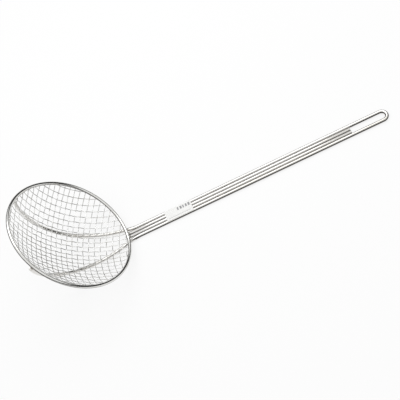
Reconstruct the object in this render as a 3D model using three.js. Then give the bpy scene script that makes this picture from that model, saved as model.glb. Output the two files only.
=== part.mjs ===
// A round wire-mesh skimmer in millimetres, +Z up. A woven mesh bowl sits in a ring of thick wire, on a flat
// handle of four wires side by side. X runs along the handle, which lies on the ground, and the bowl tilts up.
import * as THREE from "three";

// Driving sizes of the bowl
const bowlDiameter = 152.4; // outside of the rim, a 6 inch bowl
const rimWire = 4.0;
const meshWire = 0.9;
const meshDepth = 31; // from the rim's middle plane down to the middle of the mesh
const meshCount = 23; // wires each way
const meshEdge = 0.2; // share of a mesh opening between the outermost wire and the rim
const meshTurn = -14.5; // degrees from the handle round to the first set of mesh wires

// Driving sizes of the handle and its ribs
const handleWire = 4.0;
const handleLength = 341; // from the rim to the outside of the hanging loop
const loopLength = 48; // from the ends of the inner wires to the outside of the hanging loop
const handleTilt = 47.2; // degrees between the handle and the rim's plane
const flareStart = 9; // how far before the rim the outer wires begin to spread
const flareBend = 12; // length of the bend where they do
const ribGap = 4.6; // clear height between the mesh and the ribs where they are lowest
const ribSpread = 80; // degrees between the ribs' far ends, seen from the middle of the bowl
const ribInset = 1.5; // how far inside the rim the ribs come up

// Driving sizes of the label
const labelStart = 51; // from the rim
const labelLength = 34.5;
const labelWidth = 15;
const labelThickness = 0.3;

const gap = 0.3; // clearance between neighbouring pieces

// How finely round things are cut
const wireSides = 12;
const meshSides = 5;
const rimSteps = 72;
const ribSteps = 18;
const bendSteps = 4;
const loopSteps = 12;

// Bowl, worked out: the mesh is part of a sphere
const rimRadius = rimWire / 2;
const meshRadius = meshWire / 2;
const handleRadius = handleWire / 2;
const bowlRadius = bowlDiameter / 2 - rimRadius; // to the middle of the rim wire
const crimp = meshRadius + gap / 2; // how far a mesh wire rises and dips where it crosses another
const meshToRib = crimp + meshRadius + handleRadius; // middle of the mesh to middle of a rib that touches it
const rimToRib = rimRadius + gap + handleRadius;

// Ribs, worked out: seen from the side, they run straight on from the handle under the rim, then follow an arc
// that comes up under the rim on the far side. The straight stretch is as long as their depth needs.
const ribDepth = meshDepth + meshToRib + ribGap;
const tilt = THREE.MathUtils.degToRad(handleTilt);
const halfSpread = THREE.MathUtils.degToRad(ribSpread / 2);
const farReach = bowlRadius * Math.cos(halfSpread);
const farSide = bowlRadius * Math.sin(halfSpread);
const chord = bowlRadius + farReach - ribInset; // along the rim's plane, from the handle to the far ends
const sag = ribDepth - rimToRib;
const ribStraight = Math.sqrt((2 * chord * sag) / Math.tan(tilt / 2)) - chord;
const arcRun = chord * Math.cos(tilt) - ribStraight;
const arcRise = chord * Math.sin(tilt);
const ribRadius = (arcRun ** 2 + arcRise ** 2) / (2 * arcRise) + rimToRib;
const ribTurn = 2 * Math.atan2(arcRise, arcRun); // all that the arc turns
const farTilt = ribTurn - tilt; // between the ribs' far ends and the rim's plane

// The mesh meets the rim high enough to leave room for the ends of the ribs beneath it
const ribToRim = rimToRib - ribInset * Math.sin(farTilt);
const meshLift = (meshToRib + gap - ribToRim) / Math.cos(farTilt);
const meshHeight = meshDepth + meshLift;
const sphereRadius = (bowlRadius ** 2 + meshHeight ** 2) / (2 * meshHeight);
const sphereCentre = sphereRadius - meshDepth;
const rimAngle = Math.asin(bowlRadius / sphereRadius);
const meshPitch = (2 * meshEndRadius(1)) / (meshCount - 1 + 2 * meshEdge);

// Handle, worked out: four wires side by side, lying on the flats of their sections
const wireHeight = handleRadius * Math.cos(Math.PI / wireSides);
const wirePitch = handleWire + gap;
const innerSide = wirePitch / 2;
const outerSide = wirePitch * 1.5;
const loopCentre = handleLength - handleRadius - outerSide;
const handleTop = 2 * wireHeight;
const ribSeat = rimRadius + gap + handleRadius * Math.sin(halfSpread) - ribInset * Math.cos(farTilt);
const ribEnd = ribStraight + ribRadius * ribTurn - ribSeat;
const ribSlope = (farSide - outerSide) / (ribEnd + flareStart);

// How far from the bowl's axis a mesh wire ends. Slant is 0 on a wire that meets the rim head on, and 1 on one
// that runs beside it, whose flank then needs the room.
function meshEndRadius(slant) {
  const seat = meshLift * Math.sin(rimAngle) + rimRadius + gap + meshRadius * slant;
  return sphereRadius * Math.sin(rimAngle - seat / sphereRadius);
}

const steel = { color: 0xc4c6c6, roughness: 0.22, metalness: 1.0 };
const paper = { color: 0xf4f4f2, roughness: 0.85, metalness: 0.0 };

// A bent wire as a curve through its points. Steps fall on the points, and the section's top follows the up
// vector, carried along the wire both ways from the point called level.
class BentWire extends THREE.Curve {
  constructor(points, up, level = 0) {
    super();
    this.points = points;
    this.up = up;
    this.level = level;
  }

  getPoint(t, target = new THREE.Vector3()) {
    const along = t * (this.points.length - 1);
    const i = Math.min(Math.floor(along), this.points.length - 2);
    return target.lerpVectors(this.points[i], this.points[i + 1], along - i);
  }

  getUtoTmapping(u) {
    return u;
  }

  computeFrenetFrames(steps) {
    const tangents = [];
    for (let i = 0; i <= steps; i++) tangents.push(this.getTangent(i / steps));
    const normals = new Array(steps + 1);
    const carry = (from, i) => (normals[i] = from.clone().projectOnPlane(tangents[i]).normalize());
    carry(this.up, this.level);
    for (let i = this.level + 1; i <= steps; i++) carry(normals[i - 1], i);
    for (let i = this.level - 1; i >= 0; i--) carry(normals[i + 1], i);
    const binormals = tangents.map((tangent, i) => new THREE.Vector3().crossVectors(tangent, normals[i]));
    return { tangents, normals, binormals };
  }
}

// The round section of a wire, cut to flats with one flat facing up
function section(radius, sides) {
  const corners = [];
  for (let i = 0; i < sides; i++) {
    const angle = (2 * Math.PI * (i + 0.5)) / sides;
    corners.push(new THREE.Vector2(radius * Math.cos(angle), radius * Math.sin(angle)));
  }
  return corners;
}

function wire(points, radius, sides, up, level) {
  return new THREE.ExtrudeGeometry(new THREE.Shape(section(radius, sides)), {
    steps: points.length - 1,
    extrudePath: new BentWire(points, up, level),
    bevelEnabled: false,
  });
}

function piece(name, geometry, finish) {
  const mesh = new THREE.Mesh(geometry, new THREE.MeshStandardMaterial(finish));
  mesh.name = name;
  return mesh;
}

const upward = new THREE.Vector3(0, 0, 1);

// Rim: a ring of round wire in the bowl's own frame, whose z is the rim's axis
function rim() {
  const profile = section(rimRadius, wireSides);
  for (const corner of profile) corner.x += bowlRadius;
  profile.push(profile[0].clone());
  return new THREE.LatheGeometry(profile, rimSteps).rotateX(Math.PI / 2);
}

// One mesh wire along x at a distance to the side. It rises over one crossing wire and dips under the next,
// square to the sphere, and stops just short of the rim.
function meshWireAlong(row, phase) {
  const side = row * meshPitch;
  const reach = Math.sqrt(meshEndRadius(Math.abs(side) / bowlRadius) ** 2 - side ** 2);
  const crossings = Math.floor(reach / meshPitch);
  const centre = new THREE.Vector3(0, 0, sphereCentre);
  const at = (x) => {
    const drop = Math.sqrt(sphereRadius ** 2 - x ** 2 - side ** 2);
    const point = new THREE.Vector3(x, side, sphereCentre - drop);
    const column = Math.floor(x / meshPitch);
    const past = x / meshPitch - column;
    const over = (row + column) % 2 === 0 ? 1 : -1;
    const rise = phase * over * crimp * (1 - 2 * past);
    const inward = centre.clone().sub(point).normalize();
    return point.addScaledVector(inward, rise);
  };
  const points = [at(-reach)];
  for (let column = -crossings; column <= crossings; column++) points.push(at(column * meshPitch));
  points.push(at(reach));
  return wire(points, meshRadius, meshSides, upward);
}

// A place on the handle's plane, or further on along the arc that the ribs follow under the bowl
function place(along, side) {
  if (along <= ribStraight) return new THREE.Vector3(-along, side, wireHeight);
  const angle = (along - ribStraight) / ribRadius;
  return new THREE.Vector3(
    -ribStraight - ribRadius * Math.sin(angle),
    side,
    wireHeight + ribRadius * (1 - Math.cos(angle)),
  );
}

// How far an outer wire stands to the side: parallel on the handle, then a soft bend, then the ribs' straight V
function spread(along) {
  const past = along + flareStart;
  if (past <= -flareBend / 2) return outerSide;
  if (past >= flareBend / 2) return outerSide + past * ribSlope;
  return outerSide + ((past + flareBend / 2) ** 2 / (2 * flareBend)) * ribSlope;
}

// Frame wire: rib, handle leg, hanging loop, and back down the other side
function frameWire() {
  const stations = [];
  for (let i = 0; i <= ribSteps; i++) stations.push(ribEnd * (1 - i / ribSteps));
  for (let i = 0; i <= bendSteps; i++) stations.push(-flareStart + flareBend * (0.5 - i / bendSteps));
  const left = stations.map((along) => place(along, spread(along)));
  const right = stations.map((along) => place(along, -spread(along))).reverse();
  const loop = [];
  for (let i = 0; i <= loopSteps; i++) {
    const angle = Math.PI * (0.5 - i / loopSteps);
    loop.push(place(-loopCentre - outerSide * Math.cos(angle), outerSide * Math.sin(angle)));
  }
  return wire([...left, ...loop, ...right], handleRadius, wireSides, upward, left.length);
}

// Inner wires: straight, from under the rim to short of the loop
function innerWire(side) {
  const points = [place(rimRadius, side), place(loopLength - handleLength, side)];
  return wire(points, handleRadius, wireSides, upward);
}

// Bowl: the rim and the two sets of mesh wires, in a frame tilted up about the handle's end
const meshWires = new THREE.Group();
meshWires.rotation.z = THREE.MathUtils.degToRad(meshTurn);
const crossWires = new THREE.Group();
crossWires.rotation.z = Math.PI / 2;
meshWires.add(crossWires);
for (let i = 0; i < meshCount; i++) {
  const row = i - (meshCount - 1) / 2;
  const number = String(i + 1).padStart(2, "0");
  meshWires.add(piece("mesh_wire_along_" + number, meshWireAlong(row, 1), steel));
  crossWires.add(piece("mesh_wire_across_" + number, meshWireAlong(-row, -1), steel));
}
const bowl = new THREE.Group();
bowl.rotation.y = tilt;
bowl.position.set(-bowlRadius * Math.cos(tilt), 0, wireHeight + rimToRib + bowlRadius * Math.sin(tilt));
bowl.add(piece("rim_ring", rim(), steel), meshWires);

// Handle: the frame wire, the inner wires and the label on top of them
const label = piece("paper_label", new THREE.BoxGeometry(labelLength, labelWidth, labelThickness), paper);
label.position.set(labelStart + labelLength / 2, 0, handleTop + gap + labelThickness / 2);
const handle = new THREE.Group();
handle.add(
  piece("frame_wire", frameWire(), steel),
  piece("inner_handle_wire_left", innerWire(innerSide), steel),
  piece("inner_handle_wire_right", innerWire(-innerSide), steel),
  label,
);

// The whole skimmer, with its origin on the ground under the middle of its outline
const skimmer = new THREE.Group();
const assembly = new THREE.Group();
assembly.add(bowl, handle);
skimmer.add(assembly);
const outline = new THREE.Box3().setFromObject(skimmer, true);
const middle = outline.getCenter(new THREE.Vector3());
assembly.position.set(-middle.x, -middle.y, -outline.min.z);

export default skimmer;
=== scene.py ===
# A wire mesh skimmer in bright nickel plate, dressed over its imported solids: round bent wires, a woven
# bowl, weld spots and a paper label. Metres, +Z up, the handle along X and lying on the floor.
import math

import bmesh
import bpy
from mathutils import Matrix, Vector


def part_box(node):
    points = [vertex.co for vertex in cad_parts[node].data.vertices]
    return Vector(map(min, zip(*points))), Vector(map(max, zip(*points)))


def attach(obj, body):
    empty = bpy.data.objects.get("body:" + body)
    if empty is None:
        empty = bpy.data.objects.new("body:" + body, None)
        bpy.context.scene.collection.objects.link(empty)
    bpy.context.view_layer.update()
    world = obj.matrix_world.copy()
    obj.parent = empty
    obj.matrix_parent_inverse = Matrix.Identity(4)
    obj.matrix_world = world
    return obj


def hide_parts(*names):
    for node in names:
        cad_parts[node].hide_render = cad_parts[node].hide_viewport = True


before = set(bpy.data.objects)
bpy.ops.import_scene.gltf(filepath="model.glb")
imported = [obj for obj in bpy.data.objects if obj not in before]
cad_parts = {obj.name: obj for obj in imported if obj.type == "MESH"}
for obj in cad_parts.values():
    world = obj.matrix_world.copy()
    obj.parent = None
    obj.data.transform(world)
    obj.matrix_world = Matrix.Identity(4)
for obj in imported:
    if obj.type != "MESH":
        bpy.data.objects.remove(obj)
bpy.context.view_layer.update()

# Sizes shared with the solids
BOWL_RADIUS = 0.0742  # to the middle of the rim wire
RIM_WIRE = 0.0020
MESH_WIRE = 0.00045
MESH_DEPTH = 0.0310
MESH_LIFT = 0.00054  # how far above the rim's middle plane the mesh meets the rim
MESH_COUNT = 23
MESH_TURN = math.radians(-14.5)
TILT = math.radians(47.2)  # between the handle and the rim's plane
WIRE_SIDE = 0.00215  # half the spacing of the handle's wires
FLARE_START = 0.009
FLARE_BEND = 0.012
RIB_STRAIGHT = 0.013183
RIB_RADIUS = 0.081282
RIB_END = 0.15736
RIB_SLOPE = 0.2479
SOLID_WIRE_HALF = 0.00193  # half the height of a handle wire's solid, which is cut to flats
WELD_GAP = 0.0003  # left between solids that are welded on the real one

# Sizes of the dressing alone
RIB_SINK = 0.0009  # how much longer a rib is than its solid, into the weld
MESH_SINK = 0.0003  # how far the end of a mesh wire goes into the rim
LABEL_THICKNESS = 0.00022
LABEL_SAG = 0.00022  # between two wires
LABEL_LIFT = 0.0003  # at the two ends
LABEL_LIFT_LENGTH = 0.003
GROOVE_WIDE = 0.0009  # where the painted shade in the handle's grooves begins, from the groove's middle
GROOVE_NARROW = 0.0004
GROOVE_SHADE_SHARE = 0.42  # how strong the painted shade is between the wires, where 1 is full, as on the outer flanks
PAINTED_SHADE_COLOUR = (0.10, 0.095, 0.085)  # colour of the painted shade

# The handle's wires are a hair thicker than the solids, so that they touch each other as the real ones do
HANDLE_WIRE = WIRE_SIDE
OUTER_SIDE = 3 * WIRE_SIDE
RIM_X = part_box("inner_handle_wire_left")[0].x + RIM_WIRE
INNER_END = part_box("inner_handle_wire_left")[1].x
LOOP_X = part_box("frame_wire")[1].x - SOLID_WIRE_HALF - OUTER_SIDE
RIM_CENTRE = Vector((
    RIM_X - BOWL_RADIUS * math.cos(TILT),
    0,
    SOLID_WIRE_HALF + 2 * RIM_WIRE + WELD_GAP + BOWL_RADIUS * math.sin(TILT),
))
RIM_AXIS = Vector((math.sin(TILT), 0, math.cos(TILT)))
BOWL_FRAME = Matrix.Translation(RIM_CENTRE) @ Matrix.Rotation(TILT, 4, "Y")


# Small tools of the bench

def clear_bench():
    if bpy.context.object and bpy.context.object.mode != "OBJECT":
        bpy.ops.object.mode_set(mode="OBJECT")
    bpy.ops.object.select_all(action="DESELECT")


def start_edit(select="SELECT"):
    bpy.ops.object.mode_set(mode="EDIT")
    bpy.ops.mesh.select_mode(type="VERT")
    bpy.ops.mesh.select_all(action=select)


def pick(test):
    """In edit mode, selects the vertices whose place in the row frame passes the test."""
    piece = bpy.context.object
    shape = bmesh.from_edit_mesh(piece.data)
    for vertex in shape.verts:
        vertex.select = test(piece.matrix_world @ vertex.co)
    shape.select_flush_mode()
    bmesh.update_edit_mesh(piece.data)


def pick_faces(test):
    """In edit mode, selects the faces whose middle and normal pass the test."""
    piece = bpy.context.object
    bpy.ops.mesh.select_mode(type="FACE")
    shape = bmesh.from_edit_mesh(piece.data)
    for face in shape.faces:
        face.select = test(piece.matrix_world @ face.calc_center_median(), face.normal)
    shape.select_flush_mode()
    bmesh.update_edit_mesh(piece.data)


def end_edit(name, crease=40):
    """Closes the shape, puts its place into its mesh and gives it smooth shading."""
    bpy.ops.mesh.select_mode(type="VERT")
    bpy.ops.mesh.select_all(action="SELECT")
    bpy.ops.mesh.remove_doubles(threshold=0.000005)
    bpy.ops.mesh.normals_make_consistent(inside=False)
    bpy.ops.object.mode_set(mode="OBJECT")
    bpy.ops.object.transform_apply(location=True, rotation=True, scale=True)
    bpy.ops.object.shade_smooth_by_angle(angle=math.radians(crease))
    piece = bpy.context.object
    piece.name = name
    piece.data.name = name
    return piece


def round_section(place, rotation, radius, sides):
    """Starts a wire with its round section, left selected in edit mode."""
    clear_bench()
    bpy.ops.mesh.primitive_circle_add(vertices=sides, radius=radius, location=place, rotation=rotation)
    start_edit()


def draw_out(step):
    """Draws the selected end of a wire out straight."""
    bpy.ops.mesh.extrude_region_move(TRANSFORM_OT_translate={"value": step})


def bend(angle, centre, axis, steps):
    """Bends the selected end of a wire round a centre, by the right hand. Spin turns the other way."""
    bpy.ops.mesh.spin(steps=steps, angle=-angle, center=centre, axis=axis)


def hand_over(piece, material, slot, *nodes):
    """Gives a finished piece its material and its place in the frame."""
    piece.data.materials.clear()
    piece.data.materials.append(material)
    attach(piece, "root")
    if nodes:
        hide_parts(*nodes)
    return piece


# Materials

def node(tree, kind, x, y, **settings):
    made = tree.nodes.new(kind)
    made.location = (x, y)
    for name, value in settings.items():
        setattr(made, name, value)
    return made


def plating_group():
    """Nickel plate on drawn wire: clouds of thinner plate, a fine grain, and pits."""
    group = bpy.data.node_groups.new("nickel_plate", "ShaderNodeTree")
    face = group.interface
    face.new_socket("Place", in_out="INPUT", socket_type="NodeSocketVector")
    for name, value in (("Cloud Size", 60.0), ("Grain Size", 2600.0), ("Gloss", 0.12), ("Dulling", 0.12)):
        socket = face.new_socket(name, in_out="INPUT", socket_type="NodeSocketFloat")
        socket.default_value = value
    for name in ("Thin Plate", "Roughness", "Height"):
        face.new_socket(name, in_out="OUTPUT", socket_type="NodeSocketFloat")
    inside = node(group, "NodeGroupInput", -900, 0)
    outside = node(group, "NodeGroupOutput", 500, 0)
    link = group.links.new
    clouds = node(group, "ShaderNodeTexNoise", -600, 220)
    clouds.inputs["Detail"].default_value = 4.0
    link(inside.outputs["Place"], clouds.inputs["Vector"])
    link(inside.outputs["Cloud Size"], clouds.inputs["Scale"])
    grain = node(group, "ShaderNodeTexNoise", -600, -60)
    grain.inputs["Detail"].default_value = 2.0
    link(inside.outputs["Place"], grain.inputs["Vector"])
    link(inside.outputs["Grain Size"], grain.inputs["Scale"])
    pits = node(group, "ShaderNodeTexVoronoi", -600, -340)
    link(inside.outputs["Place"], pits.inputs["Vector"])
    link(inside.outputs["Grain Size"], pits.inputs["Scale"])
    thin = node(group, "ShaderNodeMapRange", -300, 220)
    thin.inputs["From Min"].default_value = 0.42
    thin.inputs["From Max"].default_value = 0.72
    link(clouds.outputs["Fac"], thin.inputs["Value"])
    mixed = node(group, "ShaderNodeMath", -100, 60, operation="MULTIPLY_ADD")
    link(thin.outputs["Result"], mixed.inputs[0])
    mixed.inputs[1].default_value = 0.6
    half = node(group, "ShaderNodeMath", -300, -60, operation="MULTIPLY")
    half.inputs[1].default_value = 0.4
    link(grain.outputs["Fac"], half.inputs[0])
    link(half.outputs[0], mixed.inputs[2])
    rough = node(group, "ShaderNodeMath", 120, 60, operation="MULTIPLY_ADD")
    link(mixed.outputs[0], rough.inputs[0])
    link(inside.outputs["Dulling"], rough.inputs[1])
    link(inside.outputs["Gloss"], rough.inputs[2])
    dents = node(group, "ShaderNodeMapRange", -300, -340)
    dents.inputs["From Max"].default_value = 0.18
    link(pits.outputs["Distance"], dents.inputs["Value"])
    height = node(group, "ShaderNodeMath", 120, -240, operation="MULTIPLY_ADD")
    link(dents.outputs["Result"], height.inputs[0])
    height.inputs[1].default_value = 0.35
    link(grain.outputs["Fac"], height.inputs[2])
    link(thin.outputs["Result"], outside.inputs["Thin Plate"])
    link(rough.outputs[0], outside.inputs["Roughness"])
    link(height.outputs[0], outside.inputs["Height"])
    return group


# Painted shade: a dark colour mixed into the handle's plate where shade and dark reflection fall, in the
# grooves between its wires, on its outer flanks and round the loop.
def painted_groove_shade(tree, place):
    """How strong the painted shade is: 1 on the handle's outer flanks and in the loop, the groove share in
    the grooves between its wires, 0 on the wires' backs and past the rim."""
    link = tree.links.new
    axes = node(tree, "ShaderNodeSeparateXYZ", -1500, 700)
    link(place, axes.inputs[0])
    past_legs = node(tree, "ShaderNodeMath", -1300, 860, operation="SUBTRACT")
    past_legs.inputs[1].default_value = LOOP_X
    link(axes.outputs["X"], past_legs.inputs[0])
    into_loop = node(tree, "ShaderNodeMath", -1120, 860, operation="MAXIMUM")
    into_loop.inputs[1].default_value = 0.0
    link(past_legs.outputs[0], into_loop.inputs[0])
    from_spine = node(tree, "ShaderNodeCombineXYZ", -940, 760)
    link(into_loop.outputs[0], from_spine.inputs["X"])
    link(axes.outputs["Y"], from_spine.inputs["Y"])
    spread = node(tree, "ShaderNodeVectorMath", -760, 760, operation="LENGTH")
    link(from_spine.outputs[0], spread.inputs[0])
    to_groove = node(tree, "ShaderNodeMath", -580, 760, operation="PINGPONG")
    to_groove.inputs[1].default_value = WIRE_SIDE
    link(spread.outputs["Value"], to_groove.inputs[0])
    in_groove = node(tree, "ShaderNodeMapRange", -400, 760, interpolation_type="SMOOTHSTEP")
    in_groove.inputs["From Min"].default_value = GROOVE_WIDE
    in_groove.inputs["From Max"].default_value = GROOVE_NARROW
    link(to_groove.outputs[0], in_groove.inputs["Value"])
    on_handle = node(tree, "ShaderNodeMapRange", -580, 560)
    on_handle.inputs["From Min"].default_value = RIM_X - 0.001
    on_handle.inputs["From Max"].default_value = RIM_X + 0.003
    link(axes.outputs["X"], on_handle.inputs["Value"])
    both = node(tree, "ShaderNodeMath", -220, 700, operation="MULTIPLY")
    link(in_groove.outputs["Result"], both.inputs[0])
    link(on_handle.outputs["Result"], both.inputs[1])
    outwards = node(tree, "ShaderNodeMapRange", -580, 360)
    outwards.inputs["From Min"].default_value = 2 * WIRE_SIDE
    outwards.inputs["From Max"].default_value = 4 * WIRE_SIDE
    outwards.inputs["To Min"].default_value = GROOVE_SHADE_SHARE
    link(spread.outputs["Value"], outwards.inputs["Value"])
    in_loop = node(tree, "ShaderNodeMapRange", -580, 160)
    in_loop.inputs["From Min"].default_value = INNER_END - 0.002
    in_loop.inputs["From Max"].default_value = INNER_END + 0.002
    link(axes.outputs["X"], in_loop.inputs["Value"])
    strength = node(tree, "ShaderNodeMath", -220, 360, operation="MAXIMUM")
    link(outwards.outputs["Result"], strength.inputs[0])
    link(in_loop.outputs["Result"], strength.inputs[1])
    painted_shade = node(tree, "ShaderNodeMath", -40, 600, operation="MULTIPLY")
    link(both.outputs[0], painted_shade.inputs[0])
    link(strength.outputs[0], painted_shade.inputs[1])
    return painted_shade.outputs[0]


def painted_rim_shade(tree, place):
    """Painted shade on the rim: 1 on the rim's lower side, 0 on top of it."""
    link = tree.links.new
    height = node(tree, "ShaderNodeVectorMath", -900, 700, operation="DOT_PRODUCT")
    height.inputs[1].default_value = RIM_AXIS
    link(place, height.inputs[0])
    below = node(tree, "ShaderNodeMapRange", -600, 700, interpolation_type="SMOOTHSTEP")
    below.inputs["From Min"].default_value = RIM_CENTRE.dot(RIM_AXIS) + 0.35 * RIM_WIRE
    below.inputs["From Max"].default_value = RIM_CENTRE.dot(RIM_AXIS) - 0.15 * RIM_WIRE
    link(height.outputs["Value"], below.inputs["Value"])
    return below.outputs["Result"]


def plated(name, bright, dull, group, stretch=(1, 1, 1), cloud=60.0, grain=2600.0, gloss=0.10,
           dulling=0.14, bump=0.04, painted_shade=None):
    """A plated metal. Stretch below 1 on an axis draws its grain out along it. The last argument, when given,
    is a mask of painted shade that darkens the colour.
    """
    material = bpy.data.materials.new(name)
    material.use_nodes = True
    tree = material.node_tree
    link = tree.links.new
    shader = tree.nodes["Principled BSDF"]
    shader.inputs["Metallic"].default_value = 1.0
    place = node(tree, "ShaderNodeTexCoord", -1100, 0)
    mapping = node(tree, "ShaderNodeMapping", -900, 0)
    mapping.inputs["Scale"].default_value = stretch
    link(place.outputs["Object"], mapping.inputs["Vector"])
    plate = node(tree, "ShaderNodeGroup", -680, 0, node_tree=group)
    plate.inputs["Cloud Size"].default_value = cloud
    plate.inputs["Grain Size"].default_value = grain
    plate.inputs["Gloss"].default_value = gloss
    plate.inputs["Dulling"].default_value = dulling
    link(mapping.outputs["Vector"], plate.inputs["Place"])
    tint = node(tree, "ShaderNodeMix", -380, 160, data_type="RGBA")
    tint.inputs["A"].default_value = (*bright, 1)
    tint.inputs["B"].default_value = (*dull, 1)
    link(plate.outputs["Thin Plate"], tint.inputs["Factor"])
    colour = tint.outputs["Result"]
    # Painted shade: the plate's colour is darkened towards the painted shade colour where the mask says.
    if painted_shade:
        darkened = node(tree, "ShaderNodeMix", -160, 300, data_type="RGBA")
        darkened.inputs["B"].default_value = (*PAINTED_SHADE_COLOUR, 1)
        link(painted_shade(tree, place.outputs["Object"]), darkened.inputs["Factor"])
        link(colour, darkened.inputs["A"])
        colour = darkened.outputs["Result"]
    link(colour, shader.inputs["Base Color"])
    link(plate.outputs["Roughness"], shader.inputs["Roughness"])
    relief = node(tree, "ShaderNodeBump", -380, -240)
    relief.inputs["Strength"].default_value = bump
    relief.inputs["Distance"].default_value = 0.0002
    link(plate.outputs["Height"], relief.inputs["Height"])
    link(relief.outputs["Normal"], shader.inputs["Normal"])
    return material


nickel_plate = plating_group()
# The handle's plate carries painted shade in its grooves, on its outer flanks and at the loop.
handle_plate = plated(
    "handle_nickel", (0.75, 0.74, 0.72), (0.66, 0.64, 0.60), nickel_plate,
    stretch=(0.1, 1, 1), grain=900.0, dulling=0.1, bump=0.01, painted_shade=painted_groove_shade,
)
# The rim's plate carries painted shade on its lower side.
rim_plate = plated(
    "rim_nickel", (0.75, 0.75, 0.73), (0.64, 0.63, 0.60), nickel_plate,
    grain=900.0, bump=0.01, painted_shade=painted_rim_shade,
)
mesh_plate = plated(
    "mesh_nickel", (0.76, 0.76, 0.75), (0.60, 0.59, 0.56), nickel_plate,
    gloss=0.16, dulling=0.14, bump=0.01,
)
weld_plate = plated(
    "weld_nickel", (0.62, 0.60, 0.56), (0.38, 0.34, 0.29), nickel_plate,
    cloud=420.0, gloss=0.28, dulling=0.25, bump=0.25,
)


# Rim: a round wire spun about the bowl's axis, with the ring's butt joint swollen a little at the handle

def rim_ring():
    near = RIM_CENTRE + BOWL_RADIUS * Vector((math.cos(TILT), 0, -math.sin(TILT)))
    round_section(near, (math.pi / 2, 0, 0), RIM_WIRE, 24)
    bend(2 * math.pi, RIM_CENTRE, RIM_AXIS, 180)
    bpy.ops.mesh.select_all(action="SELECT")
    bpy.ops.mesh.remove_doubles(threshold=0.000005)
    bpy.ops.mesh.normals_make_consistent(inside=False)
    for reach, swell in ((0.0030, 0.00006), (0.0017, 0.00008)):
        pick(lambda at: abs(at.y) < reach and at.x > RIM_CENTRE.x)
        bpy.ops.transform.shrink_fatten(value=swell)
    return end_edit("rim_wire_ring")


hand_over(rim_ring(), rim_plate, "plated_wire", "rim_ring")


# Frame wire: half the hairpin, bent and drawn out from the loop's tip to the end of one rib, then mirrored

def frame_wire():
    slant = math.atan(RIB_SLOPE)
    bend_radius = FLARE_BEND / 2 / math.tan(slant / 2)
    bend_start = RIM_X + FLARE_START + FLARE_BEND / 2
    bend_length = bend_radius * math.sin(slant)
    before_arc = bend_start - bend_length - (RIM_X - RIB_STRAIGHT)
    rib_steps = 56
    arc_length = RIB_END + RIB_SINK - RIB_STRAIGHT
    arc_centre = (RIM_X - RIB_STRAIGHT, 0, HANDLE_WIRE + RIB_RADIUS)
    round_section((LOOP_X + OUTER_SIDE, 0, HANDLE_WIRE), (math.pi / 2, 0, 0), HANDLE_WIRE, 24)
    bend(math.pi / 2, (LOOP_X, 0, HANDLE_WIRE), (0, 0, 1), 14)
    for part in range(6):
        draw_out(((bend_start - LOOP_X) / 6, 0, 0))
    bend(-slant, (bend_start, OUTER_SIDE + bend_radius, HANDLE_WIRE), (0, 0, 1), 8)
    draw_out((-before_arc, before_arc * RIB_SLOPE, 0))
    for step in range(rib_steps):
        bend(arc_length / rib_steps / RIB_RADIUS, arc_centre, (0, 1, 0), 1)
        bpy.ops.transform.translate(value=(0, arc_length / rib_steps * RIB_SLOPE, 0))
    bpy.ops.mesh.edge_face_add()
    bpy.ops.mesh.bevel(offset=0.0004, segments=3, affect="EDGES")
    bpy.ops.object.mode_set(mode="OBJECT")
    bpy.ops.object.transform_apply(location=True, rotation=True, scale=True)
    bpy.ops.object.modifier_add(type="MIRROR")
    mirror = bpy.context.object.modifiers["Mirror"]
    mirror.use_axis = (False, True, False)
    mirror.merge_threshold = 0.00001
    bpy.ops.object.modifier_apply(modifier="Mirror")
    start_edit()
    return end_edit("frame_wire_hairpin")


hand_over(frame_wire(), handle_plate, "plated_wire", "frame_wire")


# Inner wires: straight, cut square at both ends with the cut's edge broken

def inner_wire(name, side):
    start = RIM_X - RIM_WIRE
    clear_bench()
    bpy.ops.mesh.primitive_cylinder_add(
        vertices=24, radius=HANDLE_WIRE, depth=INNER_END - start, end_fill_type="NGON",
        location=((start + INNER_END) / 2, side, HANDLE_WIRE), rotation=(0, math.pi / 2, 0),
    )
    start_edit("DESELECT")
    pick_faces(lambda middle, normal: abs(normal.z) > 0.9)
    bpy.ops.mesh.bevel(offset=0.0003, segments=3, affect="EDGES")
    return end_edit(name)


hand_over(inner_wire("inner_wire_left", WIRE_SIDE), handle_plate, "plated_wire", "inner_handle_wire_left")
hand_over(inner_wire("inner_wire_right", -WIRE_SIDE), handle_plate, "plated_wire", "inner_handle_wire_right")


# Mesh: rows of a flat grid, trimmed to the rim, pressed into the bowl, waved over and under, then made wires

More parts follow.
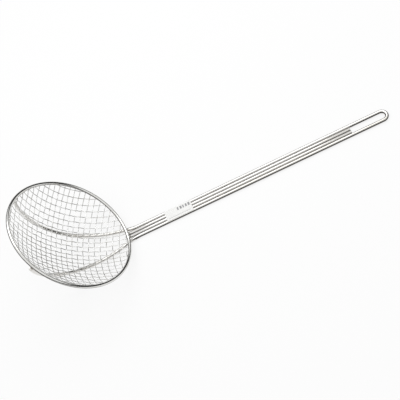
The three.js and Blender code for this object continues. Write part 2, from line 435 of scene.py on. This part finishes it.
def woven_wires(way, turn, phase):
    height = MESH_DEPTH + MESH_LIFT
    sphere = (BOWL_RADIUS ** 2 + height ** 2) / (2 * height)
    sphere_centre = Vector((0, 0, sphere - MESH_DEPTH))
    rim_angle = math.asin(BOWL_RADIUS / sphere)
    seat = MESH_LIFT * math.sin(rim_angle) + RIM_WIRE
    pitch = 2 * sphere * math.sin(rim_angle - (seat + WELD_GAP + MESH_WIRE) / sphere) / (MESH_COUNT - 0.6)
    wire_end = sphere * math.sin(rim_angle - (seat - MESH_SINK) / sphere)
    points = 185
    clear_bench()
    bpy.ops.mesh.primitive_grid_add(x_subdivisions=points - 1, y_subdivisions=MESH_COUNT - 1, size=1)
    start_edit("DESELECT")
    bpy.ops.mesh.select_mode(type="EDGE")
    panel = bpy.context.object
    shape = bmesh.from_edit_mesh(panel.data)
    for edge in shape.edges:
        edge.select = abs(edge.verts[0].co.y - edge.verts[1].co.y) > 1e-6
    bmesh.update_edit_mesh(panel.data)
    bpy.ops.mesh.delete(type="EDGE_FACE")
    shape = bmesh.from_edit_mesh(panel.data)
    rotate = Matrix.Rotation(turn, 4, "Z")
    for vertex in shape.verts:
        row = round((vertex.co.y + 0.5) * (MESH_COUNT - 1)) - (MESH_COUNT - 1) // 2
        side = row * pitch
        along = 2 * vertex.co.x * math.sqrt(wire_end ** 2 - side ** 2)
        drop = math.sqrt(sphere ** 2 - along ** 2 - side ** 2)
        at = Vector((along, side, sphere_centre.z - drop))
        wave = phase * (-1) ** row * (MESH_WIRE + 0.00001) * math.cos(math.pi * along / pitch)
        at += (sphere_centre - at).normalized() * wave
        vertex.co = BOWL_FRAME @ rotate @ at
    bmesh.update_edit_mesh(panel.data)
    bpy.ops.object.mode_set(mode="OBJECT")
    bpy.ops.object.convert(target="CURVE")
    panel = bpy.context.object
    panel.data.bevel_depth = MESH_WIRE
    panel.data.bevel_resolution = 2
    panel.data.use_fill_caps = True
    bpy.ops.object.convert(target="MESH")
    start_edit()
    bpy.ops.mesh.remove_doubles(threshold=0.000002)
    bpy.ops.mesh.normals_make_consistent(inside=False)
    bpy.ops.mesh.separate(type="LOOSE")
    bpy.ops.object.mode_set(mode="OBJECT")
    sideways = BOWL_FRAME.to_3x3() @ Vector((-math.sin(turn), math.cos(turn), 0))
    wires = sorted(
        bpy.context.selected_objects,
        key=lambda wire: sum((v.co.dot(sideways) for v in wire.data.vertices)) / len(wire.data.vertices),
    )
    bpy.ops.object.shade_smooth_by_angle(angle=math.radians(50))
    for number, wire in enumerate(wires, 1):
        wire.name = f"woven_wire_{way}_{number:02d}"
        wire.data.name = wire.name
    return wires


for number, wire in enumerate(woven_wires("along", MESH_TURN, 1), 1):
    hand_over(wire, mesh_plate, "mesh_wire", f"mesh_wire_along_{number:02d}")
for number, wire in enumerate(reversed(woven_wires("across", MESH_TURN + math.pi / 2, -1)), 1):
    hand_over(wire, mesh_plate, "mesh_wire", f"mesh_wire_across_{number:02d}")


# Weld spots, where the rim lies on the handle's wires and where the ribs come up under it

def weld_spot(place, size, turn, seed):
    clear_bench()
    bpy.ops.mesh.primitive_ico_sphere_add(subdivisions=3, radius=0.001, location=place)
    start_edit()
    bpy.ops.transform.resize(value=[length * 1000 for length in size])
    bpy.ops.transform.rotate(value=-turn, orient_axis="Y", center_override=place)
    bpy.ops.transform.vertex_random(offset=0.00016, uniform=0.0, normal=1.0, seed=seed)
    bpy.ops.mesh.vertices_smooth(factor=0.5, repeat=2)
    return end_edit(f"weld_spot_{seed}", 80)


def weld_spots(name, places):
    beads = []
    for number, (place, size, turn) in enumerate(places):
        beads.append(weld_spot(place, size, turn, number + 3))
    clear_bench()
    for bead in beads:
        bead.select_set(True)
    bpy.context.view_layer.objects.active = beads[0]
    bpy.ops.object.join()
    piece = bpy.context.object
    piece.name = name
    piece.data.name = name
    return piece


rib_side = OUTER_SIDE + FLARE_START * RIB_SLOPE
under_rim = [
    ((RIM_X + 0.0002, side, 2 * HANDLE_WIRE), (0.0019, 0.0015, 0.0008), 0.0)
    for side in (-rib_side, -WIRE_SIDE, WIRE_SIDE, rib_side)
]
hand_over(weld_spots("rim_weld_spots", under_rim), weld_plate, "plated_wire")

rib_angle = (RIB_END - RIB_STRAIGHT) / RIB_RADIUS
rib_tip = Vector((
    RIM_X - RIB_STRAIGHT - RIB_RADIUS * math.sin(rib_angle),
    OUTER_SIDE + (RIB_END + FLARE_START) * RIB_SLOPE,
    HANDLE_WIRE + RIB_RADIUS * (1 - math.cos(rib_angle)),
))
rib_ends = []
for hand in (1, -1):
    tip = Vector((rib_tip.x, hand * rib_tip.y, rib_tip.z))
    local = BOWL_FRAME.inverted() @ tip
    on_rim = BOWL_FRAME @ (Vector((local.x, local.y, 0)).normalized() * BOWL_RADIUS)
    rib_ends.append((tip.lerp(on_rim, 0.52), (0.0019, 0.0019, 0.0014), -0.6))
hand_over(weld_spots("rib_weld_spots", rib_ends), weld_plate, "plated_wire")


# Label: a paper sheet laid over the wires, sagging a little between them, its two ends lifting

def paper_label():
    low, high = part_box("paper_label")
    clear_bench()
    bpy.ops.mesh.primitive_grid_add(
        x_subdivisions=46, y_subdivisions=40, size=1,
        location=((low.x + high.x) / 2, 0, 2 * HANDLE_WIRE + 0.00003),
    )
    bpy.ops.transform.resize(value=(high.x - low.x, high.y - low.y, 1))
    bpy.ops.object.transform_apply(location=True, rotation=True, scale=True)
    start_edit()
    sheet = bmesh.from_edit_mesh(bpy.context.object.data)
    for vertex in sheet.verts:
        between = 0.5 - 0.5 * math.cos(math.pi * (vertex.co.y / WIRE_SIDE - 1))
        inside = 1 - abs(vertex.co.y) / (3.6 * WIRE_SIDE)
        vertex.co.z -= LABEL_SAG * between * max(0.0, min(1.0, 2.2 * inside))
        to_end = min(vertex.co.x - low.x, high.x - vertex.co.x)
        vertex.co.z += LABEL_LIFT * max(0.0, 1 - to_end / LABEL_LIFT_LENGTH) ** 2
    bmesh.update_edit_mesh(bpy.context.object.data)
    bpy.ops.object.mode_set(mode="OBJECT")
    bpy.ops.object.modifier_add(type="SOLIDIFY")
    solidify = bpy.context.object.modifiers["Solidify"]
    solidify.thickness = LABEL_THICKNESS
    solidify.offset = 1.0
    bpy.ops.object.modifier_apply(modifier="Solidify")
    start_edit()
    return end_edit("label_sheet", 50)


def label_paper():
    """Matt white paper with a faint fibre, and a generic print: a row of plain bars and one thin rule."""
    low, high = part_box("paper_label")
    material = bpy.data.materials.new("label_paper")
    material.use_nodes = True
    tree = material.node_tree
    link = tree.links.new
    shader = tree.nodes["Principled BSDF"]
    shader.inputs["Roughness"].default_value = 0.62
    place = node(tree, "ShaderNodeTexCoord", -1500, 0)
    fibre = node(tree, "ShaderNodeTexNoise", -1200, -260)
    fibre.inputs["Scale"].default_value = 1400.0
    fibre.inputs["Detail"].default_value = 5.0
    link(place.outputs["Object"], fibre.inputs["Vector"])
    axes = node(tree, "ShaderNodeSeparateXYZ", -1300, 160)
    link(place.outputs["Object"], axes.inputs[0])

    def band(socket, start, end, y):
        """1 between start and end, with a soft edge."""
        lower = node(tree, "ShaderNodeMapRange", -1050, y)
        lower.inputs["From Min"].default_value = start - 0.00006
        lower.inputs["From Max"].default_value = start + 0.00006
        upper = node(tree, "ShaderNodeMapRange", -1050, y - 160)
        upper.inputs["From Min"].default_value = end + 0.00006
        upper.inputs["From Max"].default_value = end - 0.00006
        both = node(tree, "ShaderNodeMath", -850, y, operation="MULTIPLY")
        link(socket, lower.inputs["Value"])
        link(socket, upper.inputs["Value"])
        link(lower.outputs["Result"], both.inputs[0])
        link(upper.outputs["Result"], both.inputs[1])
        return both.outputs[0]

    def box_print(start_x, end_x, start_y, end_y, y):
        both = node(tree, "ShaderNodeMath", -650, y, operation="MULTIPLY")
        link(band(axes.outputs["X"], start_x, end_x, y), both.inputs[0])
        link(band(axes.outputs["Y"], start_y, end_y, y - 320), both.inputs[1])
        return both.outputs[0]

    ink = None
    bars = ((0.0160, 0.0019), (0.0196, 0.0025), (0.0232, 0.0017), (0.0266, 0.0022), (0.0301, 0.0025))
    prints = [(start, start + wide, 0.0016, 0.0056) for start, wide in bars]
    prints.append((0.003, 0.0315, -0.0046, -0.0042))
    for number, (start_x, end_x, start_y, end_y) in enumerate(prints):
        mark = box_print(low.x + start_x, low.x + end_x, start_y, end_y, 1400 - 700 * number)
        if ink is None:
            ink = mark
            continue
        joined = node(tree, "ShaderNodeMath", -450, 1400 - 700 * number, operation="MAXIMUM")
        link(ink, joined.inputs[0])
        link(mark, joined.inputs[1])
        ink = joined.outputs[0]
    shade = node(tree, "ShaderNodeMix", -650, -500, data_type="RGBA")
    shade.inputs["A"].default_value = (0.93, 0.93, 0.92, 1)
    shade.inputs["B"].default_value = (0.87, 0.87, 0.85, 1)
    link(fibre.outputs["Fac"], shade.inputs["Factor"])
    printed = node(tree, "ShaderNodeMix", -250, 100, data_type="RGBA")
    printed.inputs["B"].default_value = (0.33, 0.33, 0.34, 1)
    link(ink, printed.inputs["Factor"])
    link(shade.outputs["Result"], printed.inputs["A"])
    link(printed.outputs["Result"], shader.inputs["Base Color"])
    relief = node(tree, "ShaderNodeBump", -250, -260)
    relief.inputs["Strength"].default_value = 0.12
    relief.inputs["Distance"].default_value = 0.0001
    link(fibre.outputs["Fac"], relief.inputs["Height"])
    link(relief.outputs["Normal"], shader.inputs["Normal"])
    return material


hand_over(paper_label(), label_paper(), "label_paper", "paper_label")


# Floor, light and camera

def floor():
    clear_bench()
    bpy.ops.mesh.primitive_plane_add(size=12.0, location=(0, 0, 0))
    plane = bpy.context.object
    plane.name = "floor"
    material = bpy.data.materials.new("floor_white")
    material.use_nodes = True
    tree = material.node_tree
    shader = tree.nodes["Principled BSDF"]
    shader.inputs["Base Color"].default_value = (0.93, 0.93, 0.93, 1)
    shader.inputs["Roughness"].default_value = 0.9
    shader.inputs["Specular IOR Level"].default_value = 0.0
    ray = node(tree, "ShaderNodeLightPath", -900, 400)
    seen = node(tree, "ShaderNodeMath", -680, 400, operation="MAXIMUM")
    tree.links.new(ray.outputs["Is Camera Ray"], seen.inputs[0])
    tree.links.new(ray.outputs["Is Glossy Ray"], seen.inputs[1])
    shown = node(tree, "ShaderNodeMath", -460, 400, operation="MAXIMUM")
    tree.links.new(seen.outputs[0], shown.inputs[0])
    tree.links.new(ray.outputs["Is Transmission Ray"], shown.inputs[1])
    share = node(tree, "ShaderNodeMath", -240, 400, operation="MULTIPLY")
    share.inputs[1].default_value = 0.8
    tree.links.new(shown.outputs[0], share.inputs[0])
    white = node(tree, "ShaderNodeEmission", -240, 200)
    white.inputs["Strength"].default_value = 1.0
    mixed = node(tree, "ShaderNodeMixShader", 320, 200)
    tree.links.new(share.outputs[0], mixed.inputs["Fac"])
    tree.links.new(shader.outputs["BSDF"], mixed.inputs[1])
    tree.links.new(white.outputs["Emission"], mixed.inputs[2])
    tree.links.new(mixed.outputs["Shader"], tree.nodes["Material Output"].inputs["Surface"])
    plane.data.materials.append(material)


floor()


def studio():
    """A bright dome over a dark horizon, which gives the wires their bright backs and dark edges."""
    world = bpy.data.worlds.new("studio")
    bpy.context.scene.world = world
    world.use_nodes = True
    tree = world.node_tree
    background = tree.nodes["Background"]
    place = node(tree, "ShaderNodeTexCoord", -900, 0)
    axes = node(tree, "ShaderNodeSeparateXYZ", -700, 0)
    tree.links.new(place.outputs["Generated"], axes.inputs[0])
    ramp = node(tree, "ShaderNodeValToRGB", -450, 0)
    ramp.color_ramp.elements[0].position = 0.36
    ramp.color_ramp.elements[0].color = (0.02, 0.02, 0.02, 1)
    ramp.color_ramp.elements[1].position = 0.58
    ramp.color_ramp.elements[1].color = (1.0, 1.0, 1.0, 1)
    tree.links.new(axes.outputs["Z"], ramp.inputs["Fac"])
    tree.links.new(ramp.outputs["Color"], background.inputs["Color"])
    background.inputs["Strength"].default_value = 1.0

    lamp = bpy.data.lights.new("overhead_softbox", "AREA")
    lamp.shape = "RECTANGLE"
    lamp.size = 0.9
    lamp.size_y = 0.5
    lamp.energy = 3.0
    softbox = bpy.data.objects.new("overhead_softbox", lamp)
    bpy.context.scene.collection.objects.link(softbox)
    softbox.location = (0.0, 0.45, 0.9)
    softbox.rotation_euler = (math.radians(-26), 0, 0)


studio()


def camera():
    eye = Vector((0.0409, -0.5053, 0.7895))
    right = Vector((0.9014, -0.3270, -0.2835))
    down = Vector((-0.4275, -0.7750, -0.4654))
    away = right.cross(down)
    turn = Matrix((right, -down, -away)).transposed()
    data = bpy.data.cameras.new("photo_view")
    data.sensor_width = 36.0
    data.lens = 70.44
    data.clip_start = 0.01
    data.clip_end = 50.0
    view = bpy.data.objects.new("photo_view", data)
    view.matrix_world = Matrix.Translation(eye) @ turn.to_4x4()
    bpy.context.scene.collection.objects.link(view)
    bpy.context.scene.camera = view


camera()
bpy.context.scene.view_settings.view_transform = "Standard"
